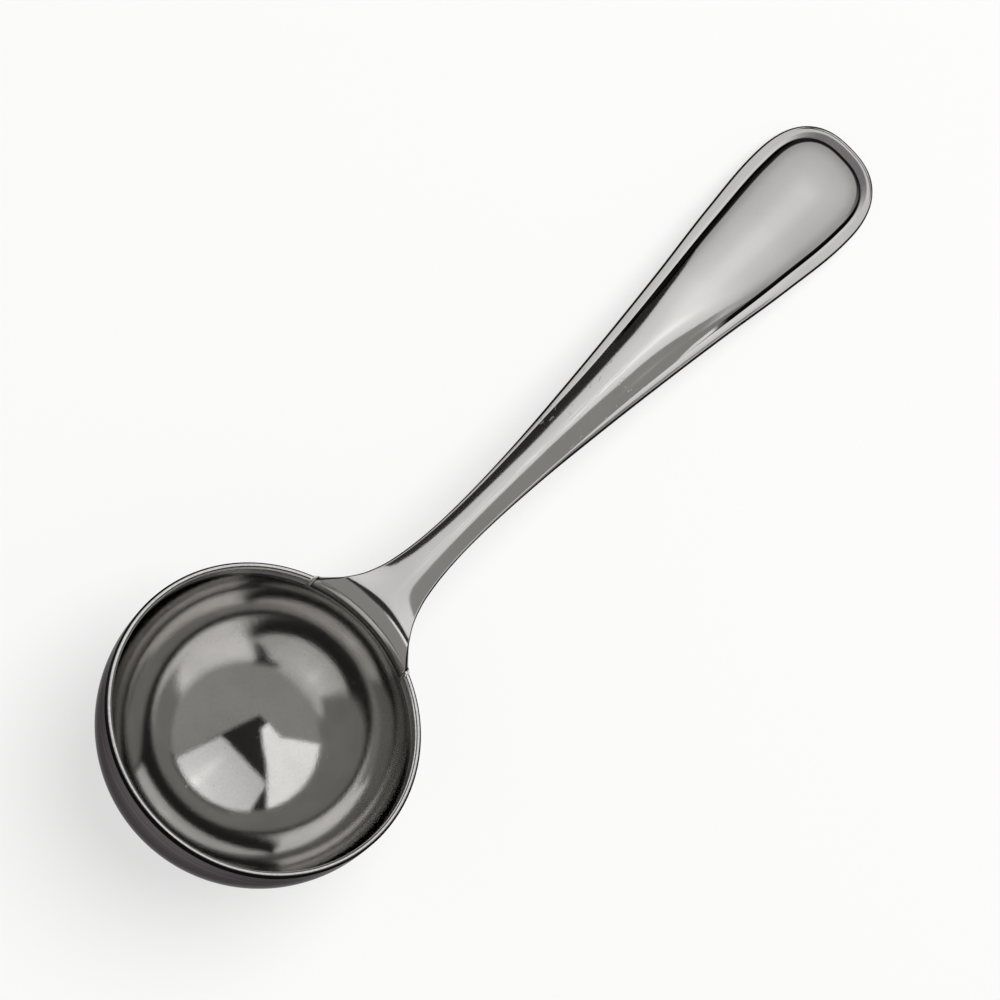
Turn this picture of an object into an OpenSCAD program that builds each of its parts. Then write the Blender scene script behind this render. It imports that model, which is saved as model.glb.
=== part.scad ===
// Coffee scoop in polished steel, lying on a table as it comes to rest: on the underside of its bowl and on
// the tip of its handle. Millimetres. The origin is the point of the table under the centre of the bowl's
// ball, +X runs along the handle and +Z is up. Every piece is drawn in the bowl's own frame, with the rim's
// centre at zero and the rim in the XY plane, and is then laid down by lay_down().

/* [Bowl] */
// Outer radius of the bowl
bowl_r = 24; // [18:0.5:36]
// Thickness of the bowl's sheet
sheet = 1; // [0.8:0.05:1.4]
// Height of the straight wall between the rim and the half ball
wall_h = 2.9; // [2.9:0.1:8]
// Bevel that breaks the rim's inner and outer edges
rim_bevel = 0.15; // [0.1:0.05:0.35]

/* [Handle] */
// Length along the handle, from the end of the roll to the tip
handle_len = 111; // [80:0.5:150]
// Greatest width, a little before the tip
handle_w = 20.5; // [14:0.1:28]
// Distance from the tip to the greatest width
tip_len = 13.2; // [9:0.1:18]
// Least width, at the neck
neck_w = 5.8; // [4.5:0.1:8]
// Distance from the end of the roll to the neck
neck_at = 18; // [12:0.5:26]
// Thickness of the edge at the neck
neck_t = 1.8; // [1.3:0.1:2.4]
// Thickness of the edge at the tip
tip_t = 1.6; // [1.3:0.1:2.2]
// Rounding of the handle's edges
edge_r = 0.35; // [0.15:0.05:0.5]
// Angle between the rim's plane and the handle where it leaves the bowl
rise = 12; // [8:0.5:30]
// Radius of the long arch from the neck to the tip
arch_r = 1200; // [400:50:4000]

/* [Handle face] */
// Width of the raised border beside the widest part
border_w = 1.6; // [1:0.1:2.2]
// Fall of the border from its inner to its outer edge
border_fall = 0.25; // [0.05:0.05:0.35]
// Rise of the border above the groove that parts it from the panel, at the tip
groove_d = 0.5; // [0.3:0.05:0.8]
// Width of the step from the groove up to the border
step_w = 0.5; // [0.3:0.05:0.7]
// Width of that step at the tip, where it slopes gently
tip_step_w = 1.3; // [0.8:0.1:2.2]
// Fall of the panel from its ridge towards the groove, at its greatest
crown_h = 2.2; // [0.8:0.05:2.6]
// Fall of the panel's steep lip beside the groove
lip_h = 0.55; // [0.2:0.05:0.7]
// Width of that lip
lip_w = 0.6; // [0.3:0.05:0.8]

/* [Joint] */
// Trimmed from each side of the strip at the root, which is let into the bowl's wall. The strip is as wide as
// the handle's widest part.
root_trim = 0.75; // [0.3:0.05:2.5]
// Radius of the roll from the bowl's inner wall up to the handle
roll_r = 4; // [3.4:0.1:5]
// Width of the weld seam around the root
seam_w = 0.6; // [0.4:0.1:1]

/* [Hidden] */
$fn = 96;

// How far a cut runs past what it cuts
overrun = 5;
// Straight part of the root below the roll
root_straight = 0.25;
// Length over which the edge's rounding and the handle's thickness grow out of the root
edge_grow = 2.5;
thick_grow = 12;
// Length over which the bowl's roundness fades out of the handle
plan_fade = 12;
// Length before the end of the roll at which the relief starts, and length over which it grows
relief_from = 1.5;
relief_grow = 6;

inner_r = bowl_r - sheet;
root_w = handle_w - 2 * root_trim;
roll_turn = 90 - rise;
roll_len = roll_r * roll_turn * PI / 180;
// The roll crosses the rim's plane in the middle of the sheet
roll_drop = sqrt(sheet * (roll_r - sheet / 4));
root_d = roll_drop + root_straight;
nub_b = -roll_len + roll_r * asin(roll_drop / roll_r) * PI / 180;
wide_b = handle_len - tip_len;

// Outline: width between nub and neck, and between neck and widest part, at even steps
flare_shares = [1, 0.47, 0.222, 0.103, 0.04, 0.008, 0];
flare_start_share = -0.7;
belly_shares = [0, 0.066, 0.215, 0.396, 0.605, 0.845, 1];
// Superellipse power of the tip
tip_power = 2.5;

// Relief along the handle, from the end of the roll to the widest part, at even steps
border_shares = [0.18, 0.18, 0.25, 0.4, 0.7, 0.86, 0.84, 0.9, 1];
groove_shares = [0.1, 0.1, 0.1, 0.1, 0.1, 0.13, 0.5, 1, 1];
crown_shares = [0.43, 0.36, 0.42, 0.6, 0.75, 0.93, 0.76, 0.26, 0.25];
lip_shares = [0, 0, 0, 0, 0, 0, 0.4, 1, 1];
// Power of the crown's curve across the panel, in shares of crown_power
power_shares = [1, 0.97, 0.86, 0.84, 0.9, 1.08, 2, 2.7, 2.7];
// Border's width at the tip, as a share of its width beside it
tip_border_share = 0.6;
// Rise of the border beside the panel, as a share of its rise at the tip
side_groove_share = 0.22;
// Powers of the curves across the panel and its lip
crown_power = 2;
lip_power = 1.4;
// Rounding of the edges at the root, as a share of the handle's
root_edge_share = 0.1;

// Steps of the mesh: along the roll, from there to the widest part, around the tip, across the panel, and
// across its lip
roll_steps = 8;
long_steps = 28;
tip_steps = 10;
panel_steps = 6;
lip_steps = 2;

function clamp01(t) = min(1, max(0, t));
function smooth(t) = let (c = clamp01(t)) c * c * (3 - 2 * c);

// Smooth curve through evenly spaced values, with the given slopes at its ends
function slope_at(v, i, first, last) =
    i == 0 ? first : i == len(v) - 1 ? last : (v[i + 1] - v[i - 1]) / 2;
function curve(v, t, first = 0, last = 0) =
    let (n = len(v) - 1, s = clamp01(t) * n, i = min(floor(s), n - 1), f = s - i,
         m0 = slope_at(v, i, first, last), m1 = slope_at(v, i + 1, first, last))
    (2 * f ^ 3 - 3 * f ^ 2 + 1) * v[i] + (f ^ 3 - 2 * f ^ 2 + f) * m0
    + (3 * f ^ 2 - 2 * f ^ 3) * v[i + 1] + (f ^ 3 - f ^ 2) * m1;

// Centre line of the handle's face, which its ridge follows. b is the length along it, zero at the roll's end.
// Returns [x, z, angle above the rim's plane].
roll_end_x = inner_r + roll_r * (1 - cos(roll_turn));
roll_end_z = -roll_drop + roll_r * sin(roll_turn);
function on_wall(b) = [inner_r, -roll_drop + b + roll_len, 90];
function on_roll(b) =
    let (turn = (b + roll_len) / roll_r * 180 / PI)
    [inner_r + roll_r * (1 - cos(turn)), -roll_drop + roll_r * sin(turn), 90 - turn];
function on_arch(b) =
    let (a = rise - b / arch_r * 180 / PI)
    [roll_end_x + arch_r * (sin(rise) - sin(a)), roll_end_z + arch_r * (cos(a) - cos(rise)), a];
function centre(b) = b < -roll_len ? on_wall(b) : b < 0 ? on_roll(b) : on_arch(b);

// Half of the handle's width, up to its widest part
function flare(b) =
    neck_w + (root_w - neck_w) * curve(flare_shares, (b - nub_b) / (neck_at - nub_b), flare_start_share);
function belly(b) = neck_w + (handle_w - neck_w) * curve(belly_shares, (b - neck_at) / (wide_b - neck_at));
function half_w(b) = (b < neck_at ? flare(b) : belly(b)) / 2;
// Reach of the outline from the widest part's centre, turned by a from the side towards the tip
function tip_reach(a) =
    (pow(cos(a) / (handle_w / 2), tip_power) + pow(sin(a) / tip_len, tip_power)) ^ (-1 / tip_power);

// The bowl's roundness in plan, which the root keeps and the handle loses
function plan_drop(b, y, depth) =
    let (r = inner_r + depth, keep = 1 - smooth((b - nub_b) / plan_fade))
    keep * (r - sqrt(r * r - y * y));

// Point of the handle: along it by b, out by y, above its face's centre line by h
function place(b, y, h) =
    let (c = centre(b)) [c[0] - h * sin(c[2]) - plan_drop(b, y, -h), y, c[1] + h * cos(c[2])];

function thick(b) =
    sheet + (neck_t - sheet) * smooth((b + roll_len) / thick_grow)
    + (tip_t - neck_t) * smooth((b - neck_at) / (wide_b - neck_at));
function edge(b) = edge_r * (root_edge_share + (1 - root_edge_share) * smooth((b - nub_b) / edge_grow));
function along(shares, b) = curve(shares, b / wide_b, shares[1] - shares[0]);

// Relief at b: falls of the crown and the lip, rise of the border, and height of the border below the ridge.
// q goes from 0 beside the tip to 1 at it.
function grow(b) = smooth((b + relief_from) / relief_grow);
function crown_at(b) = crown_h * along(crown_shares, b) * grow(b);
function lip_at(b) = lip_h * along(lip_shares, b) * grow(b);
function groove_at(b, q) =
    groove_d * (side_groove_share + (1 - side_groove_share) * q) * along(groove_shares, b) * grow(b);
function deck_at(b, q) = groove_at(b, q) - crown_at(b) - lip_at(b);

// Half of a cross-section, from the ridge in the middle out to the edge and back along the underside to the
// middle. w is the distance to the edge. Each point is [out, height].
function section(b, w, q) =
    let (t = thick(b), power = crown_power * along(power_shares, b), crown = crown_at(b), lip = lip_at(b),
         deck = deck_at(b, q), border = border_w * along(border_shares, b) * (1 - (1 - tip_border_share) * q),
         step = (step_w + (tip_step_w - step_w) * q) * along(groove_shares, b), panel = w - border - step,
         inner = panel - lip_w, e = min(edge(b), border / 2), fall = border_fall * along(border_shares, b))
    concat(
        [for (k = [0:panel_steps])
            let (x = inner * sin(90 * k / panel_steps)) [x, -crown * (x / panel) ^ power]],
        [for (k = [1:lip_steps])
            let (s = k / lip_steps, x = inner + lip_w * s)
            [x, -crown * (x / panel) ^ power - lip * s ^ lip_power]],
        [[panel + step, deck], [w - e - (border - e) / 2, deck - fall / 4], [w - e, deck - fall]],
        [[w, deck - fall - e], [w, deck + e - t], [w - e, deck - t], [w / 2, deck - t], [0, deck - t]]);

// Stations of half-sections from the root to the widest part, then the turn around the tip.
// Each is [b of the middle, direction towards the tip in degrees].
straight_b = concat(
    [-roll_len - root_straight],
    [for (i = [0:roll_steps - 1]) -roll_len + roll_len * i / roll_steps],
    [for (i = [0:long_steps]) wide_b * i / long_steps]);
rows = concat([for (b = straight_b) [b, 0]], [for (i = [1:tip_steps]) [wide_b, 90 * i / tip_steps]]);
side_rows = len(straight_b);
row_count = len(rows);

function row_points(row, side) =
    let (b = row[0], a = row[1], q = sin(a) ^ 2, w = a == 0 ? half_w(b) : tip_reach(a))
    [for (p = section(b, w, q)) place(b + p[0] * sin(a), side * p[0] * cos(a), p[1])];

module handle_solid() {
    left = [for (row = rows) row_points(row, 1)];
    right = [for (row = rows) row_points(row, -1)];
    n = len(left[0]);
    tip = row_count - 1;
    // One list of points: left rows, then right rows. Both sides share the left rows' middle points,
    // the tip's turn shares the widest part's, and the right side shares the left side's tip row.
    points = [for (side = [left, right]) for (row = side) for (p = row) p];
    function at(side, j, k) =
        let (middle = k == 0 || k == n - 1, row = middle ? min(j, side_rows - 1) : j)
        (middle || j == tip ? 0 : side) * row_count * n + row * n + k;
    function turned(side, f) = side == 0 ? f : [f[2], f[1], f[0]];
    function patch(side, j, k) =
        let (p = at(side, j, k), q = at(side, j, k + 1), r = at(side, j + 1, k + 1), s = at(side, j + 1, k))
        concat(q == r ? [] : [turned(side, [p, q, r])], p == s ? [] : [turned(side, [p, r, s])]);
    body = [for (side = [0, 1]) for (j = [0:row_count - 2]) for (k = [0:n - 2])
        for (f = patch(side, j, k)) f];
    root = concat([for (k = [0:n - 1]) at(1, 0, k)], [for (k = [n - 2:-1:1]) at(0, 0, k)]);
    polyhedron(points = points, faces = concat(body, [root]), convexity = 6);
}

// The bowl: half of a ball, a short straight wall and a flat rim with bevelled edges
module half_ball_profile(r) {
    translate([0, -wall_h]) difference() {
        circle(r = r);
        translate([-r - overrun, 0]) square([2 * r + 2 * overrun, r + overrun]);
    }
}
module wall_profile() {
    polygon([[0, -wall_h], [bowl_r, -wall_h], [bowl_r, -rim_bevel], [bowl_r - rim_bevel, 0], [0, 0]]);
}
module hollow_profile() {
    mouth_r = inner_r + rim_bevel;
    polygon([[0, -wall_h], [inner_r, -wall_h], [inner_r, -rim_bevel], [mouth_r, 0],
             [mouth_r, overrun], [0, overrun]]);
}
module bowl_shell() {
    rotate_extrude() difference() {
        union() {
            half_ball_profile(bowl_r);
            wall_profile();
        }
        half_ball_profile(inner_r);
        hollow_profile();
        translate([-bowl_r - overrun, -2 * bowl_r - wall_h]) square([bowl_r + overrun, 3 * bowl_r + wall_h]);
    }
}

// Block over the handle's side of the rim, which cuts the root's place in the bowl's wall
module root_block(half, depth) {
    translate([0, -half, -depth]) cube([bowl_r + overrun, 2 * half, depth + overrun]);
}

// Angle at which the ball and the underside of the tip both touch the table
toe = place(handle_len - edge_r, 0, deck_at(wide_b, 1) - tip_t);
tilt = asin(bowl_r / norm([toe[0], toe[2] + wall_h])) + atan2(toe[2] + wall_h, toe[0]);
module lay_down() {
    translate([0, 0, bowl_r]) rotate([0, tilt, 0]) translate([0, 0, wall_h]) children();
}

module bowl() {
    color([0.62, 0.61, 0.6])
    lay_down()
    difference() {
        bowl_shell();
        root_block(root_w / 2 + seam_w, root_d + seam_w);
    }
}

module handle() {
    color([0.78, 0.78, 0.77])
    lay_down()
    handle_solid();
}

// The seam around the root, dressed flush with the sheet on both faces
module neck_weld() {
    color([0.7, 0.69, 0.67])
    lay_down()
    difference() {
        intersection() {
            bowl_shell();
            root_block(root_w / 2 + seam_w, root_d + seam_w);
        }
        root_block(root_w / 2, root_d);
    }
}

bowl();
handle();
neck_weld();
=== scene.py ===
# %% [markdown]
# # A coffee scoop in polished steel
# The scoop is a ball-bottomed bowl with a long cutlery handle. This lesson dresses its packed CAD model:
# three fine meshes stand over the three solids, and a small studio lights them. Every piece is made in the
# frame of the CAD model, so the model is loaded first and nothing is fitted afterwards.

# %% Load the packed model
import math

import bmesh
import bpy
import numpy as np
from mathutils import Matrix, Vector


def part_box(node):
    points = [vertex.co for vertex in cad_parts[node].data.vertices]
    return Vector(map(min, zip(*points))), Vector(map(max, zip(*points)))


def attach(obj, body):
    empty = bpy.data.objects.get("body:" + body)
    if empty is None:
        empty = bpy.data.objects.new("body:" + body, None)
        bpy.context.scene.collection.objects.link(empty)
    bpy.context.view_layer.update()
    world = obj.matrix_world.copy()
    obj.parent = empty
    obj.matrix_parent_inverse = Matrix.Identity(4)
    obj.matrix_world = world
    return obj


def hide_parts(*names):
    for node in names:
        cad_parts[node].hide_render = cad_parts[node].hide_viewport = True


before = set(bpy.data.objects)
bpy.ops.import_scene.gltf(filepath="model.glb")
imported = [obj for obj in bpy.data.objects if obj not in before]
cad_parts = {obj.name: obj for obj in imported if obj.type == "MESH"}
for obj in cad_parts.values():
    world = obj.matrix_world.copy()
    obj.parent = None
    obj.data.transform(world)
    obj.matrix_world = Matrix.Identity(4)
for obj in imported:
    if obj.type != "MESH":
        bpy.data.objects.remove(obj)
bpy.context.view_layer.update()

print("CAD nodes:", ", ".join(sorted(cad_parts)))

# %% [markdown]
# ## Sizes
# Mirror-bright steel shows every facet of a mesh, so the CAD solids are replaced by finer ones with the same
# shape. They could be remeshed and smoothed, but a smoothed mesh wanders off its true curve. It is better to
# write the shape's formulas out again. They are in millimetres, as on a workshop drawing, and each finished
# point is scaled to metres once. The bowl's and the handle's main widths are read from the CAD model. One
# size is the scene's own: the real rim looks soft, so it is rounded here, where the solid has a small bevel.

# %% Sizes of the bowl and the handle in millimetres
MM = 0.001
quarter = math.pi / 2
bowl_lo, bowl_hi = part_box("bowl")
handle_lo, handle_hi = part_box("handle")
bowl_r = (bowl_hi.y - bowl_lo.y) / 2 / MM
handle_w = (handle_hi.y - handle_lo.y) / MM

sheet = 1.0
wall_h = 2.9
rim_round = 0.45
inner_r = bowl_r - sheet

handle_len = 111.0
tip_len = 13.2
wide_b = handle_len - tip_len
neck_w = 5.8
neck_at = 18.0
neck_t = 1.8
tip_t = 1.6
edge_r = 0.35
rise = math.radians(12)
arch_r = 1200.0
print(f"bowl radius {bowl_r:.2f} mm, handle {handle_w:.2f} mm wide")

# %% Sizes of the root, where the handle is let into the bowl's wall
root_trim = 0.75
root_straight = 0.25
roll_r = 4.0
seam_w = 0.6
edge_grow = 2.5
thick_grow = 12.0
plan_fade = 12.0
relief_from = 1.5
relief_grow = 6.0

root_w = handle_w - 2 * root_trim
roll_turn = quarter - rise
roll_len = roll_r * roll_turn
roll_drop = math.sqrt(sheet * (roll_r - sheet / 4))
root_d = roll_drop + root_straight
nub_b = -roll_len + roll_r * math.asin(roll_drop / roll_r)
print(f"root {root_w:.2f} mm wide, {root_d:.2f} mm deep")

# %% [markdown]
# ## Smooth curves from a few values
# The handle's width and relief change along its length without a corner. A Bezier curve object could carry
# them, but a function is easier to read and to sample: a few evenly spaced shares, joined by cubic pieces
# whose slopes follow their neighbours.


# %% The curve through evenly spaced values
def clamp01(t):
    return min(1.0, max(0.0, t))


def smooth(t):
    c = clamp01(t)
    return c * c * (3 - 2 * c)


def curve(values, t, first=0.0):
    """The value at share t of the way. The slope is given at the first value and 0 at the last."""
    n = len(values) - 1
    s = clamp01(t) * n
    i = min(int(s), n - 1)
    f = s - i

    def slope(k):
        if k == 0:
            return first
        return 0.0 if k == n else (values[k + 1] - values[k - 1]) / 2

    rise_part = (3 * f**2 - 2 * f**3) * (values[i + 1] - values[i])
    return values[i] + rise_part + (f**3 - 2 * f**2 + f) * slope(i) + (f**3 - f**2) * slope(i + 1)


print("halfway along 0, 1, 4:", curve([0, 1, 4], 0.5))

# %% [markdown]
# ## The handle's centre line
# The strip leaves the bowl's wall upwards, rolls over a small radius and runs on in one long flat arch. Each
# point of the handle is placed by its length b along that line, its distance y from the middle and its
# height h above the face. Heights start at the rim's plane.


# %% Along the wall, over the roll and along the arch
def on_roll(turn):
    return inner_r + roll_r * (1 - math.cos(turn)), -roll_drop + roll_r * math.sin(turn), quarter - turn


def centre(b):
    """The face's middle line: x, z and the angle above the rim's plane."""
    if b < -roll_len:
        return inner_r, -roll_drop + b + roll_len, quarter
    if b < 0:
        return on_roll((b + roll_len) / roll_r)
    x, z, _ = on_roll(roll_turn)
    a = rise - b / arch_r
    return x + arch_r * (math.sin(rise) - math.sin(a)), z + arch_r * (math.cos(a) - math.cos(rise)), a


def plan_drop(b, y, depth):
    """How far the root's sides lie back, to follow the bowl's round wall. It fades out along the neck."""
    r = inner_r + depth
    keep = 1 - smooth((b - nub_b) / plan_fade)
    return keep * (r - math.sqrt(r * r - y * y))


def place(b, y, h):
    """The point at length b, at y from the middle and at h above the face."""
    x, z, a = centre(b)
    return Vector((x - h * math.sin(a) - plan_drop(b, y, -h), y, z + h * math.cos(a)))


print("the face starts at", place(0, 0, 0), "and ends at", place(handle_len, 0, 0))

# %% [markdown]
# ## The handle's outline
# Seen from above, the handle flares out of the bowl's wall, is slimmest at the neck and swells to its widest
# place just before the tip. A drawn curve would do, but shares of a few sizes keep the outline true when a
# size changes. The tip is a superellipse, a little squarer than half an ellipse.

# %% Half of the width, and the reach of the tip
flare_shares = [1, 0.47, 0.222, 0.103, 0.04, 0.008, 0]
flare_start_share = -0.7
belly_shares = [0, 0.066, 0.215, 0.396, 0.605, 0.845, 1]
tip_power = 2.5


def half_w(b):
    if b < neck_at:
        share = curve(flare_shares, (b - nub_b) / (neck_at - nub_b), flare_start_share)
        return (neck_w + (root_w - neck_w) * share) / 2
    share = curve(belly_shares, (b - neck_at) / (wide_b - neck_at))
    return (neck_w + (handle_w - neck_w) * share) / 2


def tip_reach(a):
    """How far the outline is from the tip's centre at angle a."""
    across, along_it = abs(math.cos(a)) / (handle_w / 2), math.sin(a) / tip_len
    return (across**tip_power + along_it**tip_power) ** (-1 / tip_power)


print("neck", 2 * half_w(neck_at), "mm, widest", 2 * half_w(wide_b), "mm")

# %% [markdown]
# ## The relief across the handle
# A crowned panel lies inside a raised border, with a narrow groove between them. The real relief is pressed
# between two dies. A bump texture could fake it, but the border has to catch the light at the silhouette
# too, so it is modelled. Its parts grow and shrink along the handle, and q, which is 0 along the sides and 1
# at the tip's end, leads from the sides' measures to the tip's.

# %% How wide, high and thick each part is along the handle
border_w, border_fall = 1.6, 0.25
groove_d, step_w, tip_step_w = 0.5, 0.5, 1.3
crown_h, crown_power = 2.2, 2.0
lip_h, lip_w, lip_power = 0.55, 0.6, 1.4
border_shares = [0.18, 0.18, 0.25, 0.4, 0.7, 0.86, 0.84, 0.9, 1]
groove_shares = [0.1, 0.1, 0.1, 0.1, 0.1, 0.13, 0.5, 1, 1]
crown_shares = [0.43, 0.36, 0.42, 0.6, 0.75, 0.93, 0.76, 0.26, 0.25]
lip_shares = [0, 0, 0, 0, 0, 0, 0.4, 1, 1]
power_shares = [1, 0.97, 0.86, 0.84, 0.9, 1.08, 2, 2.7, 2.7]
side_groove_share = 0.22
tip_border_share = 0.6
root_edge_share = 0.1


def along(shares, b):
    return curve(shares, b / wide_b, shares[1] - shares[0])


def thick(b):
    to_neck = (neck_t - sheet) * smooth((b + roll_len) / thick_grow)
    to_tip = (tip_t - neck_t) * smooth((b - neck_at) / (wide_b - neck_at))
    return sheet + to_neck + to_tip


def edge(b):
    return edge_r * (root_edge_share + (1 - root_edge_share) * smooth((b - nub_b) / edge_grow))


def relief_at(b, q):
    """Crown, lip and groove: the panel's gentle fall, its steep fall at its edge, and the border's rise."""
    grow = smooth((b + relief_from) / relief_grow)
    side = side_groove_share + (1 - side_groove_share) * q
    crown = crown_h * along(crown_shares, b) * grow
    return crown, lip_h * along(lip_shares, b) * grow, groove_d * side * along(groove_shares, b) * grow


print("crown, lip and groove at the widest place:", [round(v, 3) for v in relief_at(wide_b, 0)])

# %% [markdown]
# One half of a cross-section is worked out as points, from the middle of the face out to the edge and back
# along the underside. Every cross-section has the same number of points, so that they can be joined.

# %% One half of a cross-section
panel_points, lip_points, step_points, border_points, edge_points, flat_points = 20, 8, 6, 6, 6, 6


def section(b, w, q):
    """Points of half a cross-section of half-width w: distance from the middle, height above the face."""
    t, power = thick(b), crown_power * along(power_shares, b)
    crown, lip, groove = relief_at(b, q)
    border = border_w * along(border_shares, b) * (1 - (1 - tip_border_share) * q)
    step = (step_w + (tip_step_w - step_w) * q) * along(groove_shares, b)
    e, fall = min(edge(b), border / 2), border_fall * along(border_shares, b)
    panel = w - border - step
    inner, deck = panel - lip_w, groove - crown - lip
    turns = np.linspace(0, quarter, edge_points)[1:]
    outs = [(inner * s, 0.0) for s in np.sin(np.linspace(0, quarter, panel_points))]
    outs += [(inner + lip_w * s, s**lip_power) for s in np.linspace(0, 1, lip_points)[1:]]
    points = [(x, -crown * (x / panel) ** power - lip * drop) for x, drop in outs]
    for s in np.linspace(0, 1, step_points)[1:]:
        points.append((panel + step * s, deck + groove * (s - 1)))
    for s in np.linspace(0, 1, border_points)[1:]:
        points.append((w - border + (border - e) * s, deck - fall * s * s))
    points += [(w - e + e * math.sin(a), deck - fall - e + e * math.cos(a)) for a in turns]
    points += [(w - e + e * math.cos(a), deck + e - t - e * math.sin(a)) for a in [0, *turns]]
    points += [((w - e) * (1 - s), deck - t) for s in np.linspace(0, 1, flat_points)[1:]]
    return points


print(len(section(wide_b, handle_w / 2, 0)), "points in half a cross-section")

# %% [markdown]
# ## How the scoop lies
# The shape is drawn with the bowl's rim level. On a table the scoop tips until the ball of the bowl and the
# underside of the tip both touch the top. That angle follows from the sizes, so it is worked out here the
# same way as in the CAD model.

# %% From the bowl's own frame to the table
tip_crown, tip_lip, tip_groove = relief_at(wide_b, 1)
toe = place(handle_len - edge_r, 0, tip_groove - tip_crown - tip_lip - tip_t)
toe_reach = math.hypot(toe.x, toe.z + wall_h)
tilt = math.asin(bowl_r / toe_reach) + math.atan2(toe.z + wall_h, toe.x)
lean = Matrix.Rotation(tilt, 4, "Y")
lay_down = Matrix.Translation((0, 0, bowl_r)) @ lean @ Matrix.Translation((0, 0, wall_h))
print(f"the rim leans {math.degrees(tilt):.3f} degrees")

# %% [markdown]
# ## Turning points into a piece
# Every piece is a list of points and faces in millimetres, in the bowl's own frame. One helper lays it down,
# scales it to metres, smooths its shading and gives it its material. It also ties the piece to the CAD model:
# the piece rides on the body and replaces its plain solid.


# %% The helper that makes a piece
def add_object(name, data):
    made = bpy.data.objects.new(name, data)
    bpy.context.scene.collection.objects.link(made)
    return made


def make_piece(name, points, faces, material, node, normals=None):
    mesh = bpy.data.meshes.new(name)
    mesh.from_pydata([(lay_down @ Vector(p)) * MM for p in points], [], faces)
    mesh.shade_smooth()
    if normals is not None:
        turn = lay_down.to_3x3()
        mesh.normals_split_custom_set_from_vertices([(turn @ Vector(n)).normalized() for n in normals])
    mesh.materials.append(material)
    piece = add_object(name, mesh)
    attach(piece, "root")
    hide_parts(node)
    print(f"{name}: {len(mesh.vertices)} points, {len(mesh.polygons)} faces")
    return piece


# %% [markdown]
# ## Shader maths as Python
# A procedural material is a chain of nodes. Wiring them by hand hides the idea, so one small class stands for
# a socket: plus, minus and times on it add Math nodes, and one method adds any other node.


# %% One socket, with arithmetic
class Wire:
    def __init__(self, tree, socket=None):
        self.tree = tree
        self.socket = socket

    def node(self, kind, settings=None, values=None, output=0):
        made = self.tree.nodes.new(kind)
        for name, value in (settings or {}).items():
            setattr(made, name, value)
        for name, value in (values or {}).items():
            if isinstance(value, Wire):
                self.tree.links.new(value.socket, made.inputs[name])
            else:
                made.inputs[name].default_value = value
        return Wire(self.tree, made.outputs[output])

    def other(self, name):
        """Another output of the same node."""
        return Wire(self.tree, self.socket.node.outputs[name])

    def maths(self, operation, *values):
        return self.node("ShaderNodeMath", {"operation": operation}, dict(enumerate(values)))

    def vector(self, operation, *values):
        """Vector maths. What measures a vector gives a number, and the rest gives a vector."""
        output = "Value" if operation in ("LENGTH", "DISTANCE", "DOT_PRODUCT") else "Vector"
        return self.node("ShaderNodeVectorMath", {"operation": operation}, dict(enumerate(values)), output)

    def __add__(self, other):
        return self.maths("ADD", self, other)

    def __sub__(self, other):
        return self.maths("SUBTRACT", self, other)

    def __rsub__(self, other):
        return self.maths("SUBTRACT", other, self)

    def __mul__(self, other):
        return self.maths("MULTIPLY", self, other)

    __radd__ = __add__
    __rmul__ = __mul__

    def between(self, low, high):
        """0 below the low value and 1 above the high one, with a soft step from one to the other."""
        values = {"Value": self, "From Min": low, "From Max": high}
        return self.node("ShaderNodeMapRange", {"interpolation_type": "SMOOTHSTEP"}, values)

    def mix_colours(self, first, second):
        return self.node("ShaderNodeMix", {"data_type": "RGBA"}, {0: self, 6: first, 7: second}, output=2)


print("the class has", len([n for n in vars(Wire) if n.startswith("__")]), "special names")

# %% [markdown]
# A material starts as Blender's own shader. What varies over the surface is wired into it, and a second
# shader may take over where a mask is 1.


# %% Shaders and their wiring
def new_shader(name):
    """A material, its node tree and its own shader."""
    material = bpy.data.materials.new(name)
    material.use_nodes = True
    return material, material.node_tree, material.node_tree.nodes["Principled BSDF"]


def connect(shader, **links):
    """Link wires to the shader's sockets, which are given by name, with _ for a space."""
    for name, wire in links.items():
        wire.tree.links.new(wire.socket, shader.inputs[name.replace("_", " ")])


def mix_shaders(mask, shader, second):
    """Show the material's own shader where the mask is 0 and the second one where it is 1."""
    first = Wire(mask.tree, shader.outputs[0])
    mixed = mask.node("ShaderNodeMixShader", None, {0: mask, 1: first, 2: second})
    mask.tree.links.new(mixed.socket, mask.tree.nodes["Material Output"].inputs["Surface"])


# %% [markdown]
# ## Where a polishing mark lies
# A steel press and a buffing wheel leave marks that follow the shape: rings around the bowl, and long lines
# down the handle. Both are noise. It is read by distance and height alone for the rings, and stretched along
# the handle for the lines. It needs coordinates that turn with the scoop, so the object's own coordinates are
# turned back to the bowl's frame, in millimetres. Height 0 is the centre of the ball there.


# %% Coordinates in the bowl's own frame, in millimetres
def own_frame(tree, angle):
    """Millimetres from the ball's centre, turned back by the angle."""
    start = Wire(tree).node("ShaderNodeTexCoord", output="Object")
    lifted = start.vector("SUBTRACT", start, (0, 0, bowl_r * MM))
    values = {"Vector": lifted, "Angle": -angle}
    turned = lifted.node("ShaderNodeVectorRotate", {"rotation_type": "Y_AXIS"}, values)
    return turned.node("ShaderNodeVectorMath", {"operation": "SCALE"}, {0: turned, "Scale": 1 / MM})


def around_bowl(here):
    """The distance from the bowl's axis, and the height above the ball's centre."""
    flat = here.vector("MULTIPLY", here, (1, 1, 0))
    return flat.vector("LENGTH", flat), here.node("ShaderNodeSeparateXYZ", None, {0: here}, "Z")


def noise(where, scale, detail=2.0, roughness=0.5):
    """Noise around 0.5. The scale is its patches per millimetre."""
    values = {"Vector": where, "Scale": scale, "Detail": detail, "Roughness": roughness}
    return where.node("ShaderNodeTexNoise", None, values)


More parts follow.
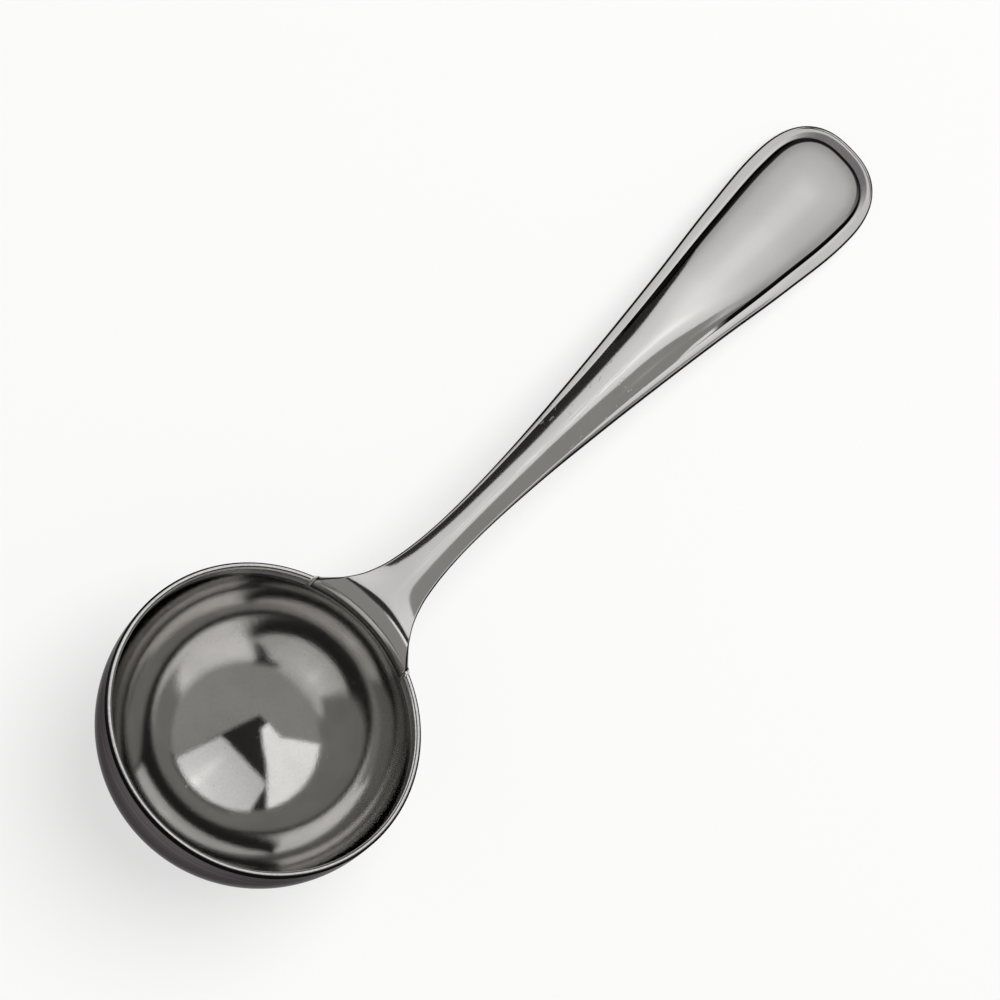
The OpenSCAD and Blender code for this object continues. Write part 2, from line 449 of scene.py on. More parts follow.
def relief(height, depth):
    """A bump: where the height is 1, the surface seems to stand out by the depth in millimetres."""
    return height.node("ShaderNodeBump", None, {"Height": height, "Distance": depth * MM})


# %% [markdown]
# ## Rougher steel and painted shade
# The wheel doesn't reach everywhere. The outside of the bowl, the handle's edges and its underside are
# rougher than the rest, and their darker colour is painted dark reflection. Black painted shade lies in the
# groove and on the handle's edges, and black painted dark reflection at the rim's corners. One shader could
# be changed by many mixed values, but a second shader keeps each finish easy to read.

# %% The rougher steel, with its painted shade
# The two darker tones, the dark glancing tint and the black are painted shade and painted dark reflection.
painted_shade_dark, painted_shade_light = (0.152, 0.138, 0.143, 1), (0.188, 0.172, 0.177, 1)
painted_shade_spread = 0.3, 0.7
dull_roughness, dull_unevenness = 0.18, 0.14
painted_shade_glancing = (0.25, 0.25, 0.25, 1)
painted_black_colour = (0.012, 0.012, 0.012, 1)


def paint_shade_where(shader, mask, marks, bump, black=None):
    """Lay a rougher steel over the polished one where the mask is 1, with a darker colour that is painted
    shade, and paint it black where black is 1.
    """
    tone = marks.between(*painted_shade_spread).mix_colours(painted_shade_dark, painted_shade_light)
    if black:
        tone = black.mix_colours(tone, painted_black_colour)
    finish = {"Metallic": 1.0, "Specular Tint": painted_shade_glancing, "Base Color": tone, "Normal": bump}
    finish["Roughness"] = dull_roughness + marks * dull_unevenness
    mix_shaders(mask, shader, mask.node("ShaderNodeBsdfPrincipled", None, finish))


# %% [markdown]
# ## The bowl's steel
# The inside of the bowl is pressed and then polished, and it isn't a perfect mirror. Edges in it look sandy,
# most of all in its upper part. Faint rings run around it, coarser near the rim, where the straight wall is
# scuffed too, and coffee has left small pits. The rim is rounded and bright, and the dark hairline at each of
# its corners is painted dark reflection, as is the outside's darker colour. An image could hold all this, but
# formulas on radius and height stay sharp at any distance.

# %% Where the finish changes, in millimetres out from the bowl's axis and up from the ball's centre
outer_half_out = inner_r + 0.45 * sheet, inner_r + 0.6 * sheet
rim_up = wall_h - rim_round, wall_h - 0.5 * rim_round
outer_line_out = bowl_r - 0.38, bowl_r - 0.26
outer_line_up = wall_h - 0.8, wall_h - 0.5
inner_line_starts = inner_r + 0.12, inner_r + 0.2
inner_line_ends = inner_r + 0.3, inner_r + 0.38
inner_line_black = 0.85
coarse_rings_up = 0.6, 2.0
sandy_up = -15.0, -4.0
scuffs_up = -0.3, 0.6


def bowl_masks(radius, height_up):
    """Where the rim's top, the outside and the two painted dark hairlines are."""
    below = height_up.maths("MINIMUM", height_up, 0.0)
    squares = radius * radius + below * below
    on_rim = height_up.between(*rim_up)
    outside = squares.maths("SQRT", squares).between(*outer_half_out) * (1 - on_rim)
    outer_line = radius.between(*outer_line_out) * height_up.between(*outer_line_up)
    inner_line = radius.between(*inner_line_starts) * (1 - radius.between(*inner_line_ends))
    painted_rim_lines = outer_line.maths("MAXIMUM", outer_line, inner_line * on_rim * inner_line_black)
    return on_rim, outside, painted_rim_lines


print(f"the outside starts {outer_half_out[0]:.2f} mm from the ball's centre")

# %% How strong each mark is
bowl_dark, bowl_light = (0.56, 0.55, 0.535, 1), (0.73, 0.72, 0.705, 1)
cloud_share, sand_share, high_sand_share = 0.3, 0.15, 0.65
cloud_spread, sand_spread = (0.35, 0.65), (0.38, 0.62)
scuff_spread, pit_spread = (0.35, 0.65), (0.77, 0.82)
grain_height, ring_height, coarse_ring_height, pit_depth = 0.6, 0.25, 1.6, 1.2
bowl_roughness, grain_roughness, rim_roughness = 0.04, 0.04, 0.08
scuff_loss = 0.6
bowl_relief = 0.010


def bowl_steel():
    material, tree, shader = new_shader("polished_bowl_steel")
    here = own_frame(tree, tilt)
    radius, height_up = around_bowl(here)
    on_rim, outside, painted_rim_lines = bowl_masks(radius, height_up)
    near_rim, high_up = height_up.between(*coarse_rings_up), height_up.between(*sandy_up)
    ring_at = radius.node("ShaderNodeCombineXYZ", None, {0: radius, 1: height_up})
    rings = noise(ring_at, scale=2.2, detail=4.0, roughness=0.65)
    grain = noise(here, scale=3.0, detail=3.0, roughness=0.7)
    pits = noise(here, scale=1.6, detail=1.0, roughness=0.4).between(*pit_spread)
    cloud = noise(here, scale=0.12).between(*cloud_spread)
    sand = noise(here, scale=3.0, detail=3.0, roughness=0.75).between(*sand_spread)
    shade = cloud * cloud_share + sand * (sand_share + high_up * high_sand_share)
    tone = shade.mix_colours(bowl_dark, bowl_light)
    rough = bowl_roughness + grain * grain_roughness + near_rim * rim_roughness
    ring_relief = rings * (ring_height + near_rim * coarse_ring_height)
    bump = relief(grain * grain_height + ring_relief - pits * pit_depth, bowl_relief)
    scuffed = height_up.between(*scuffs_up) * (1 - on_rim) * rings.between(*scuff_spread)
    connect(shader, Base_Color=tone, Roughness=rough, Normal=bump, Metallic=1 - scuffed * scuff_loss)
    # The outside's darker colour and the rim's hairlines are painted dark reflection.
    paint_shade_where(shader, outside.maths("MAXIMUM", outside, painted_rim_lines), rings, bump, painted_rim_lines)
    return material


bowl_material = bowl_steel()
print(len(bowl_material.node_tree.nodes), "nodes in the bowl's steel")

# %% [markdown]
# ## The handle's steel
# The handle is buffed along its length. Its long faint lines scatter the light sideways, so the finish is a
# little softer than the bowl's. A pale streak along the middle of the panel is a painted highlight, with a
# few specks in it. The painted shade in the groove and on the edges follows the mesh and not a formula in
# space, so the mesh carries its amount as an attribute, which is filled in when the handle is built. Faces
# turned away from the top get painted shade too.

# %% Where the handle's marks are, in millimetres along it from the ball's centre, and across it
painted_shade_name = "painted_shade_amount"
facing_up_spread = 0.3, 0.6
painted_shade_mixed_in, painted_shade_turns_black = (0.0, 0.5), (0.5, 1.0)
streak_half_w, streak_starts, streak_ends = (0.1, 0.9), (30.0, 44.0), (75.0, 95.0)
specks_start, specks_end = (62.0, 66.0), (80.0, 84.0)
line_stretch, speck_stretch = (0.02, 1, 1), (0.6, 1, 1)
line_spread, speck_spread = (0.45, 0.62), (0.70, 0.74)


def handle_masks(tree, here, lines):
    """Faces turned away from the top, which get painted shade, the painted highlight streak and the specks.
    """
    facing = here.node("ShaderNodeTexCoord", output="Normal")
    face_up = (math.sin(tilt - rise), 0, math.cos(tilt - rise))
    turned_away = 1 - facing.vector("DOT_PRODUCT", facing, face_up).between(*facing_up_spread)
    down_it = here.node("ShaderNodeSeparateXYZ", None, {0: here}, "X")
    off_middle = down_it.maths("ABSOLUTE", down_it.other("Y"))
    streak_reach = down_it.between(*streak_starts) * (1 - down_it.between(*streak_ends))
    streak = (1 - off_middle.between(*streak_half_w)) * lines.between(*line_spread) * streak_reach
    spots = noise(here.vector("MULTIPLY", here, speck_stretch), scale=1.5, detail=1.0, roughness=0.4)
    speck_reach = down_it.between(*specks_start) * (1 - down_it.between(*specks_end))
    return turned_away, streak, spots.between(*speck_spread) * speck_reach


print("streak from", streak_starts[0], "to", streak_ends[1], "mm from the ball's centre")

# %% The handle's material
handle_dark, handle_light = (0.63, 0.62, 0.605, 1), (0.655, 0.645, 0.63, 1)
# The streak's pale colour is a painted highlight.
highlight_colour = (0.76, 0.755, 0.74, 1)
handle_roughness, line_roughness = 0.08, 0.07
speck_depth = 4.0
handle_relief = 0.003


def handle_steel():
    material, tree, shader = new_shader("buffed_handle_steel")
    shader.inputs["Metallic"].default_value = 1.0
    here = own_frame(tree, tilt - rise)
    lines = noise(here.vector("MULTIPLY", here, line_stretch), scale=5.0, detail=4.0, roughness=0.6)
    turned_away, streak, specks = handle_masks(tree, here, lines)
    painted_shade = here.node("ShaderNodeAttribute", {"attribute_name": painted_shade_name}, output="Fac")
    cloud = noise(here, scale=0.1).between(*cloud_spread)
    # A painted highlight runs along the middle of the panel.
    tone = streak.mix_colours(cloud.mix_colours(handle_dark, handle_light), highlight_colour)
    bump = relief(lines - specks * speck_depth, handle_relief)
    rough = handle_roughness + lines * line_roughness
    connect(shader, Base_Color=tone, Roughness=rough, Normal=bump)
    # Painted shade where faces turn away from the top, and in the groove and on the edges.
    mask = turned_away.maths("MAXIMUM", turned_away, painted_shade.between(*painted_shade_mixed_in))
    paint_shade_where(shader, mask, lines, bump, painted_shade.between(*painted_shade_turns_black))
    return material


handle_material = handle_steel()
print(len(handle_material.node_tree.nodes), "nodes in the handle's steel")

# %% [markdown]
# ## The weld's steel
# The seam around the handle's root is ground flush and polished over, so it only looks a little more matt,
# and one even noise is enough for it. On the outside it is as rough as the bowl and has the same painted dark
# reflection.

# %% The weld's material
weld_colour = (0.64, 0.63, 0.615, 1)
weld_roughness, weld_unevenness = 0.1, 0.12
weld_relief = 0.006
weld_top_up = wall_h - 0.3, wall_h


def weld_steel():
    material, tree, shader = new_shader("dressed_weld_steel")
    shader.inputs["Metallic"].default_value = 1.0
    shader.inputs["Base Color"].default_value = weld_colour
    here = own_frame(tree, tilt)
    radius, height_up = around_bowl(here)
    outside = radius.between(*outer_half_out) * (1 - height_up.between(*weld_top_up))
    grain = noise(here, scale=4.0, detail=3.0)
    bump = relief(grain, weld_relief)
    connect(shader, Roughness=weld_roughness + grain * weld_unevenness, Normal=bump)
    # The outside's darker colour is painted dark reflection.
    paint_shade_where(shader, outside, grain, bump)
    return material


weld_material = weld_steel()
print(len(weld_material.node_tree.nodes), "nodes in the weld's steel")

# %% [markdown]
# ## The bowl
# The bowl is pressed from sheet: half of a ball, a short straight wall and a rim. A lathe tool or a Screw
# modifier would turn a profile around an axis, but the wall has to open for the handle's root. So the rings
# are placed one by one, with columns that lie exactly along both sides of that opening. Each point carries
# its exact normal, so that reflections run on without a facet.

# %% The bowl's profile, from the inner pole over the rim to the outer pole
notch_y = root_w / 2 + seam_w
notch_d = root_d + seam_w
ball_rows, wall_rows, rim_rows = 56, 7, 10


def arc(cx, cz, r, start, end, count):
    """Points of an arc, each with the direction outwards."""
    for a in np.linspace(start, end, count):
        yield cx + r * math.cos(a), cz + r * math.sin(a), math.cos(a), math.sin(a)


profile = [(x, z, -nx, -nz) for x, z, nx, nz in arc(0, -wall_h, inner_r, -quarter, 0, ball_rows)]
wall_z = np.linspace(-notch_d, -rim_round, wall_rows)[:-1]
inner_start = len(profile)
profile += [(inner_r, z, -1.0, 0.0) for z in wall_z]
profile += list(arc(inner_r + rim_round, -rim_round, rim_round, 2 * quarter, quarter, rim_rows))
profile += list(arc(bowl_r - rim_round, -rim_round, rim_round, quarter, 0, rim_rows))
profile += [(bowl_r, z, 1.0, 0.0) for z in wall_z[::-1]]
outer_end = len(profile) - 1
profile += list(arc(0, -wall_h, bowl_r, 0, -quarter, ball_rows))
print(len(profile), "points in the bowl's profile")

# %% Columns around the bowl, with a straight-sided opening for the handle's root
notch_columns, bowl_columns = 24, 256


def column_angle(i, wall_r):
    """The angle of column i where the wall has this radius. The first columns span the opening."""
    side = math.asin(notch_y / wall_r)
    if i <= notch_columns:
        return math.asin(notch_y * (2 * i / notch_columns - 1) / wall_r)
    return side + (2 * math.pi - 2 * side) * (i - notch_columns) / (bowl_columns - notch_columns)


def build_bowl():
    points, normals, faces = [], [], []
    rows = profile[1:-1]
    n, first, last = len(rows), inner_start - 1, outer_end - 1
    for i in range(bowl_columns):
        for k, (r, z, nr, nz) in enumerate(rows):
            wall_r = inner_r if k < first else bowl_r if k > last else r
            a = column_angle(i, wall_r)
            points.append((r * math.cos(a), r * math.sin(a), z))
            normals.append((nr * math.cos(a), nr * math.sin(a), nz))
    for i in range(bowl_columns):
        j = (i + 1) % bowl_columns
        for k in range(n - 1):
            if i < notch_columns and first <= k < last:
                continue
            faces.append((i * n + k, i * n + k + 1, j * n + k + 1, j * n + k))
        if i < notch_columns:
            faces.append((i * n + first, i * n + last, j * n + last, j * n + first))
    faces.append(list(range(first, last + 1)))
    faces.append([notch_columns * n + k for k in range(last, first - 1, -1)])
    for pole, k in ((profile[0], 0), (profile[-1], n - 1)):
        points.append((0.0, 0.0, pole[1]))
        normals.append((0.0, 0.0, pole[3]))
        centre_point = len(points) - 1
        for i in range(bowl_columns):
            j = (i + 1) % bowl_columns
            faces.append((centre_point, i * n, j * n) if k == 0 else (centre_point, j * n + k, i * n + k))
    make_piece("bowl_shell", points, faces, bowl_material, "bowl", normals)


build_bowl()

# %% [markdown]
# ## The handle
# The handle is stamped from a strip. A curve object with a profile would keep one profile all the way, and
# this one changes with every millimetre. So cross-sections stand along the centre line, close together on the
# roll, and neighbours are joined by four-cornered faces. Around the tip they swing like the ribs of a fan,
# and points that fall together at the fan's middle are merged.

# %% The handle's cross-sections
roll_rows, long_rows, tip_rows = 22, 150, 36


def handle_stations():
    """Length b along the handle, and the angle a by which the cross-section has swung round the tip."""
    stations = [(-roll_len - root_straight, 0.0)]
    stations += [(-roll_len + roll_len * i / roll_rows, 0.0) for i in range(roll_rows)]
    stations += [(wide_b * i / long_rows, 0.0) for i in range(long_rows + 1)]
    return stations + [(wide_b, quarter * i / tip_rows) for i in range(1, tip_rows + 1)]


def handle_rings():
    for b, a in handle_stations():
        w = half_w(b) if a == 0 else tip_reach(a)
        half = section(b, w, math.sin(a) ** 2)
        left = [place(b + p * math.sin(a), p * math.cos(a), h) for p, h in half]
        right = [Vector((p.x, -p.y, p.z)) for p in left]
        yield left + right[-2:0:-1]


def tube_faces(rings):
    """The faces between neighbouring rings of points."""
    faces, n = [], len(rings[0])
    for j in range(len(rings) - 1):
        for k in range(n):
            k_next = (k + 1) % n
            faces.append((j * n + k, j * n + k_next, (j + 1) * n + k_next, (j + 1) * n + k))
    return faces


print(len(handle_stations()), "cross-sections")

# %% [markdown]
# The points of one cross-section are counted out from the middle of the face, and painted shade is laid down
# by that count. On the panel it is painted dark reflection that thickens outwards. It fills the panel's steep
# edge and the groove, is thin on the border, and darkens the rounded edge. It starts nearer to the bowl on
# the
# +Y side.

# %% How much painted shade lies on each point
lip_start = panel_points - 1
foot = panel_points + lip_points - 2
top = foot + step_points - 1
shoulder = top + border_points - 1
round_edge = range(shoulder + 1, shoulder + edge_points)
border_shade, tip_lip_shade, tip_groove_shade = 0.12, 0.8, 0.5
side_shade = {k: 1.0 for k in range(lip_start + 1, foot + 1)}
side_shade |= {k: border_shade for k in range(top, shoulder + 1)} | {k: 1.0 for k in round_edge}
panel_shade = [0, 0.02, 0.06, 0.1, 0.13, 0.15, 0.16, 0.17, 0.18, 0.19, 0.2, 0.22, 0.245, 0.27, 0.29, 0.3]
wide_groove_column = len(panel_shade)
tip_shade = dict(enumerate(panel_shade)) | {k: 1.0 for k in range(wide_groove_column, lip_start + 1)}
tip_shade |= {lip_start + 1: tip_lip_shade}
tip_shade |= {k: tip_groove_shade for k in range(lip_start + 2, top)}
tip_shade |= {k: side_shade[k] for k in range(top, shoulder + edge_points)}
groove_starts = {1: (50.0, 12.0), -1: (69.0, 5.0)}
panel_shade_from, panel_shade_fade = 60.0, 22.0
wide_from, wide_fade = 60.0, 8.0
neck_line_to, neck_line_fade = 6.0, 10.0


def painted_shade_at(column, side, b, a):
    """The share of painted shade: along the sides it grows with b, and around the tip it turns to the tip's
    own.
    """
    at_side, at_tip = side_shade.get(column, 0.0), tip_shade.get(column, 0.0)
    if column in (shoulder - 1, shoulder):
        at_side = max(at_side, 1 - smooth((b - neck_line_to) / neck_line_fade))
    if column <= lip_start:
        panel_dark = panel_shade[min(column, wide_groove_column - 1)] * smooth((b - panel_shade_from) / panel_shade_fade)
        wide = side > 0 and column >= wide_groove_column
        at_side = max(panel_dark, smooth((b - wide_from) / wide_fade) if wide else 0.0)
    start, fade = groove_starts[side]
    amount = smooth((b - start) / fade) if lip_start < column < top else 1.0
    return (at_side + (at_tip - at_side) * smooth(math.sin(a) ** 2)) * amount


print("residue in the groove at the tip:", painted_shade_at(foot, 1, wide_b, quarter))


# %% The handle's mesh
merge_gap = 0.001 * MM


def finish_mesh(piece, change=None):
    """Turn every face outwards, after a change to the mesh where one is given."""
    work = bmesh.new()
    work.from_mesh(piece.data)
    if change:
        change(work)
    bmesh.ops.recalc_face_normals(work, faces=work.faces)
    work.to_mesh(piece.data)
    work.free()


def build_handle():
    rings = list(handle_rings())
    n = len(rings[0])
    faces = tube_faces(rings)
    faces.append(list(range(n - 1, -1, -1)))
    points = [p for ring in rings for p in ring]
    piece = make_piece("handle_bar", points, faces, handle_material, "handle")
    painted_shade = piece.data.attributes.new(painted_shade_name, "FLOAT", "POINT")
    for j, (b, a) in enumerate(handle_stations()):
        for k in range(n):
            painted_shade.data[j * n + k].value = painted_shade_at(min(k, n - k), 1 if 2 * k < n else -1, b, a)

    def sharpen_and_merge(work):
        for seam in work.edges:
            column = {v.index % n for v in seam.verts}
            seam.smooth = column not in ({foot}, {n - foot}, {top}, {n - top})
        bmesh.ops.remove_doubles(work, verts=work.verts, dist=merge_gap)

    finish_mesh(piece, sharpen_and_merge)
    return piece


handle = build_handle()
print("after merging:", len(handle.data.vertices), "points")

# %% [markdown]
# ## The weld
# The seam runs down one side of the root, under it and up the other side. A bevel could stand for it, but
# the bowl and the handle are separate pieces, and the gap between them has to be filled. So the seam is a
# strip of its own: on each face it leads from the bowl's wall to the handle's, and its two ends swell to
# small beads on the rim.

# %% Along the seam and across it
leg_rows, foot_rows, seam_points = 10, 24, 7


def handle_b(z):
    """The length along the handle's face at which it is z above the rim."""
    turn = math.asin(clamp01((z + roll_drop) / roll_r))
    return -roll_len + (roll_r * turn if z > -roll_drop else z + roll_drop)


def seam_line(share):
    """Ends of the seam's width at a share of its way along: (y, z) at the bowl and at the handle."""
    leg = notch_d / (2 * notch_d + 2 * notch_y)
    if share < leg:
        f = share / leg
        return (notch_y, -notch_d * f), (root_w / 2, -root_d * f)
    if share > 1 - leg:
        f = (1 - share) / leg
        return (-notch_y, -notch_d * f), (-root_w / 2, -root_d * f)
    f = (share - leg) / (1 - 2 * leg)
    return (notch_y * (1 - 2 * f), -notch_d), (root_w / 2 * (1 - 2 * f), -root_d)


def seam_point(share, across, outer):
    (y0, z0), (y1, z1) = seam_line(share)
    r = bowl_r if outer else inner_r
    b = handle_b(z1)
    at_handle = place(b, y1, -thick(b) if outer else 0)
    y, f = y0 + (y1 - y0) * across, smooth(across)
    offset = at_handle.x - math.sqrt(r * r - y1 * y1)
    return Vector((math.sqrt(r * r - y * y) + offset * f, y, z0 + (at_handle.z - z0) * across))


print("the seam starts at", seam_point(0, 0, False))

# %% The bead over each end of the seam
cap_rows, bead_h = 9, 0.3
bead_start, bead_span = 0.15, 0.7


def add_bead(points, faces, ring, base):
    """Cap one end. The ring's points, from number base on, cross the inner face and return on the outer."""
    start, n = len(points), len(ring)
    for d in np.linspace(0, 1, cap_rows)[1:-1]:
        for k in range(seam_points):
            p = ring[k].lerp(ring[n - 1 - k], d)
            swell = math.sin(math.pi * (bead_start + bead_span * k / (seam_points - 1)))
            points.append(p + Vector((0, 0, bead_h * math.sin(math.pi * d) * swell)))
    grid = [[base + k for k in range(seam_points)]]
    grid += [[start + i * seam_points + k for k in range(seam_points)] for i in range(cap_rows - 2)]
    grid += [[base + n - 1 - k for k in range(seam_points)]]
    for low, high in zip(grid, grid[1:]):
        for k in range(seam_points - 1):
            faces.append((low[k], low[k + 1], high[k + 1], high[k]))
    for k in (0, seam_points - 1):
        faces.append([row[k] for row in grid])


def build_weld():
    widths = np.linspace(0, 1, seam_points)
    rings = []
    for share in np.linspace(0, 1, 2 * leg_rows + foot_rows + 1):
        inner = [seam_point(share, f, False) for f in widths]
        outer = [seam_point(share, f, True) for f in widths[::-1]]
        rings.append(inner + outer)
    points, faces = [p for ring in rings for p in ring], tube_faces(rings)
    last_ring = len(points) - len(rings[-1])
    add_bead(points, faces, rings[0], 0)
    add_bead(points, faces, rings[-1], last_ring)
    finish_mesh(make_piece("weld_seam", points, faces, weld_material, "neck_weld"))


build_weld()

# %% [markdown]
# ## The camera
# The photograph looks down on the scoop with a long lens. Its rim is an ellipse, which gives the lean of the
# rim against the line of sight, and the way the handle narrows gives the distance. The camera is set by those
# readings: where the rim's centre falls in the picture, how the handle is turned, and how far away it is.

# %% The camera from the photograph's readings
photo_side = 1000
rim_pixel_x, rim_pixel_y = 266.6, 717.0
handle_turn = math.radians(44.25)
rim_lean = math.radians(30.9)
camera_gap = 480 * MM
focal_pixels = 3312
sensor = 36.0

camera_lean = rim_lean - tilt
towards = Vector((-math.sin(camera_lean), 0, math.cos(camera_lean)))
down_handle = Vector((math.cos(camera_lean), 0, math.sin(camera_lean)))
across_handle = Vector((0, 1, 0))
right = down_handle * math.cos(handle_turn) - across_handle * math.sin(handle_turn)
up = down_handle * math.sin(handle_turn) + across_handle * math.cos(handle_turn)
rim_centre = lay_down @ Vector((0, 0, 0)) * MM
pixel = camera_gap / focal_pixels
middle = photo_side / 2
eye = rim_centre + towards * camera_gap
eye += right * (middle - rim_pixel_x) * pixel + up * (rim_pixel_y - middle) * pixel

camera_data = bpy.data.cameras.new("camera")
camera_data.sensor_width = sensor
camera_data.lens = focal_pixels * sensor / photo_side
camera_data.clip_start, camera_data.clip_end = 0.01, 20
camera = add_object("camera", camera_data)
camera.matrix_world = Matrix.Translation(eye) @ Matrix((right, up, towards)).transposed().to_4x4()
bpy.context.scene.camera = camera
print(f"lens {camera_data.lens:.1f} mm, eye {eye.z / MM:.0f} mm above the table")

# %% [markdown]
# ## The table
# The scoop lies on a plain pale table top, which is a hair below its lowest point. The top is only a
# backdrop. A brighter lamp would make it white, but would also light the steel. So to the camera and in
# reflections the top is partly a white glow, and the rest of it shows the shadow.

# %% The table top
half_floor = 3.0
floor_gap = 0.02 * MM
glow_share = 0.65
corner_signs = (-1, -1), (1, -1), (1, 1), (-1, 1)

floor_material, floor_tree, floor_shader = new_shader("pale_table")
floor_shader.inputs["Base Color"].default_value = (0.9, 0.9, 0.895, 1)
floor_shader.inputs["Roughness"].default_value = 0.9
floor_shader.inputs["Specular IOR Level"].default_value = 0.1
by_camera = Wire(floor_tree).node("ShaderNodeLightPath", output="Is Camera Ray")
seen = by_camera.maths("MAXIMUM", by_camera, by_camera.other("Is Glossy Ray"))
white = seen.node("ShaderNodeEmission", None, {"Strength": 1.0})
mix_shaders(seen * glow_share, floor_shader, white)

floor_mesh = bpy.data.meshes.new("table_top")
floor_corners = [(half_floor * x, half_floor * y, -floor_gap) for x, y in corner_signs]
floor_mesh.from_pydata(floor_corners, [], [(0, 1, 2, 3)])
floor_mesh.materials.append(floor_material)
floor = add_object("table_top", floor_mesh)
print("table", 2 * half_floor, "m wide")

# %% [markdown]
# ## The studio
# Polished steel has almost no colour of its own: it shows the room. The bowl is a mirror ball seen from
# inside, so the photograph itself tells where the lit walls stood. There are two: one beyond the handle's tip
# and one beside the bowl. Both lean in towards the lens, as the sides of a light tent do. A lamp would do for
# a soft highlight, but the bowl shows the walls' straight edges, so each is a glowing card with those edges.
# The cards are seen in reflections only, so other views aren't blocked and the table stays evenly lit.


# %% Places seen from the camera, and cards that glow
def studio_point(along_handle, across, nearer):
    """A point by its distances in mm from the rim's centre: down the handle, across it, towards the lens."""
    away = down_handle * along_handle + across_handle * across + towards * nearer
    return rim_centre + away * MM


def glowing_wall(name, corners, glow):
    """A flat card that shows in reflections alone. The glow is a function that adds its nodes to a tree."""
    mesh = bpy.data.meshes.new(name)
    mesh.from_pydata([studio_point(*c) for c in corners], [], [range(len(corners))])
    material = bpy.data.materials.new(name)
    material.use_nodes = True
    tree = material.node_tree
    tree.nodes.clear()
    light = Wire(tree).node("ShaderNodeEmission", None, {"Strength": glow(tree)})
    output = tree.nodes.new("ShaderNodeOutputMaterial")
    tree.links.new(light.socket, output.inputs["Surface"])
    mesh.materials.append(material)
    made = add_object(name, mesh)
    made.visible_camera = made.visible_diffuse = made.visible_shadow = False
    print(f"{name}: {len(corners)} corners")


# %% The lamp behind the end wall
end_wall_at, end_wall_lean = 155.0, 0.09
lamp_height, lamp_side = 28.0, -7.0
beam_height, beam_side = 150.0, -5.0
lamp_at = studio_point(end_wall_at - end_wall_lean * lamp_height, lamp_side, lamp_height)
lamp_top = studio_point(end_wall_at - end_wall_lean * beam_height, beam_side, beam_height)
core_reach, halo_reach, slow_reach, beam_reach = 10 * MM, 45 * MM, 200 * MM, 16 * MM
beam_starts, beam_ends = (-25 * MM, 10 * MM), (40 * MM, 170 * MM)
cloth_glow, slow_glow, beam_glow, halo_glow, core_glow = 0.72, 0.22, 0.16, 0.12, 0.25


def end_wall_glow(tree):
    """A hot lamp behind the cloth near the table, its pale beam upwards, and a slow fall of light."""
    here = Wire(tree).node("ShaderNodeTexCoord", output="Object")
    from_lamp = here.vector("DISTANCE", here, tuple(lamp_at))
    beam_way = tuple((lamp_top - lamp_at).normalized())
    offset = here.vector("SUBTRACT", here, tuple(lamp_at))
    climb = offset.vector("DOT_PRODUCT", offset, beam_way)
    beside = offset.vector("CROSS_PRODUCT", offset, beam_way)
    near_beam = 1 - beside.vector("LENGTH", beside).between(0, beam_reach)
    beam = near_beam * climb.between(*beam_starts) * (1 - climb.between(*beam_ends))
    core, halo, slow = (1 - from_lamp.between(0, reach) for reach in (core_reach, halo_reach, slow_reach))
    return cloth_glow + slow * slow_glow + beam * beam_glow + halo * halo_glow + core * core_glow


print("lamp at", [round(v / MM) for v in lamp_at], "mm")

# %% The wall beyond the tip, by its corners: across the handle, and towards the lens
end_wall_edges = [
    *((-59, 193), (-59, 16), (-120, 9), (-120, -50), (85, -50), (85, 2), (117, 12)),
    *((123, 52), (127.6, 71), (137, 109), (149, 135)),
    *((149.5, 163), (128, 178), (84, 188), (41, 197.5), (0, 199), (-30, 200)),
]
end_wall_corners = [(end_wall_at - end_wall_lean * c, v, c) for v, c in end_wall_edges]
glowing_wall("end_wall", end_wall_corners, end_wall_glow)

# %% The wall beside the bowl, by its corners: down the handle, and towards the lens
side_wall_at, side_wall_lean = 95.0, 0.172
side_wall_strength = 1.12
side_wall_edges = [
    *((9, 396), (60, 402), (60.5, 324), (65, 218), (64, 131), (69.4, 86), (73.3, 58), (76.5, 31)),
    *((80, -36), (-70, -12), (-32.6, 77), (-21.7, 110), (-9, 145), (3.4, 174), (7.7, 272)),
]
side_wall_corners = [(s, side_wall_at - side_wall_lean * c, c) for s, c in side_wall_edges]
glowing_wall("side_wall", side_wall_corners, lambda tree: side_wall_strength)

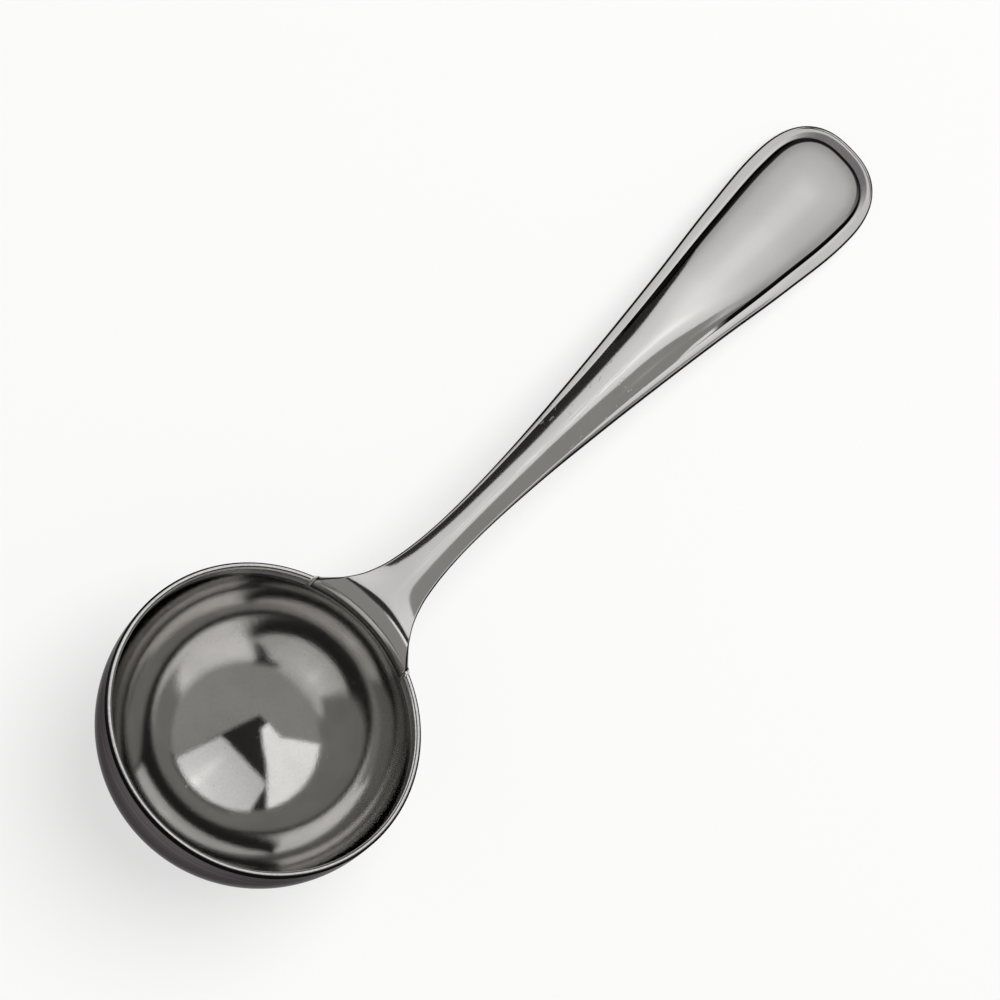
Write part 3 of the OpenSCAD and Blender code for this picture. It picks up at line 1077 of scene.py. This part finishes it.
# %% [markdown]
# The rest of the room is the world's light. Grey cloth hangs on two sides of the scoop, behind the bowl and
# across from the side wall, down to the level of the table. What is left is dark, and shows as black between
# the walls. The camera itself sees the world white, so that a low view has a white background too.

# %% The world
dark_room, cloth_light = 0.028, 0.29
room_colour, white_colour = (1, 0.985, 0.96, 1), (1, 1, 1, 1)
cloth_edge = -0.004, 0.004
back_cloth_lean = 0.035
side_cloth_turn, side_cloth_lean = 0.36, 0.07
table_edge = 0.0, 0.03

world = bpy.data.worlds.new("studio")
world.use_nodes = True
bpy.context.scene.world = world
tree = world.node_tree
tree.nodes.clear()
look = Wire(tree).node("ShaderNodeTexCoord", output="Generated")
to_tip, to_side, to_lens = (
    look.vector("DOT_PRODUCT", look, tuple(way)) for way in (down_handle, across_handle, towards)
)
above_table = look.vector("DOT_PRODUCT", look, (0, 0, 1)).between(*table_edge)
back_cloth = (to_lens * back_cloth_lean - to_tip).between(*cloth_edge)
side_cloth = (0.0 - to_side - to_tip * side_cloth_turn - to_lens * side_cloth_lean).between(*cloth_edge)
cloth = back_cloth.maths("MAXIMUM", back_cloth, side_cloth) * above_table
strength = dark_room + cloth * cloth_light
by_camera = look.node("ShaderNodeLightPath", output="Is Camera Ray")
colour = by_camera.mix_colours(room_colour, white_colour)
strength = strength.maths("MAXIMUM", strength, by_camera)
back = look.node("ShaderNodeBackground", None, {"Color": colour, "Strength": strength})
out = tree.nodes.new("ShaderNodeOutputWorld")
tree.links.new(back.socket, out.inputs["Surface"])
print(len(tree.nodes), "nodes in the world")

# %% [markdown]
# One broad lamp above fills the table, so that the pale top looks pale. Steel doesn't show it.

# %% The filling lamp
fill_data = bpy.data.lights.new("fill", "AREA")
fill_data.shape = "DISK"
fill_data.size = 1.4
fill_data.energy = 34.0
fill = add_object("fill", fill_data)
fill.location = (0.7, -0.15, 1.75)
fill.rotation_mode = "QUATERNION"
fill.rotation_quaternion = Vector(fill.location).to_track_quat("Z", "Y")
fill.visible_glossy = False
bpy.context.scene.view_settings.view_transform = "Standard"
print("fill lamp", fill_data.energy, "W")

# %% [markdown]
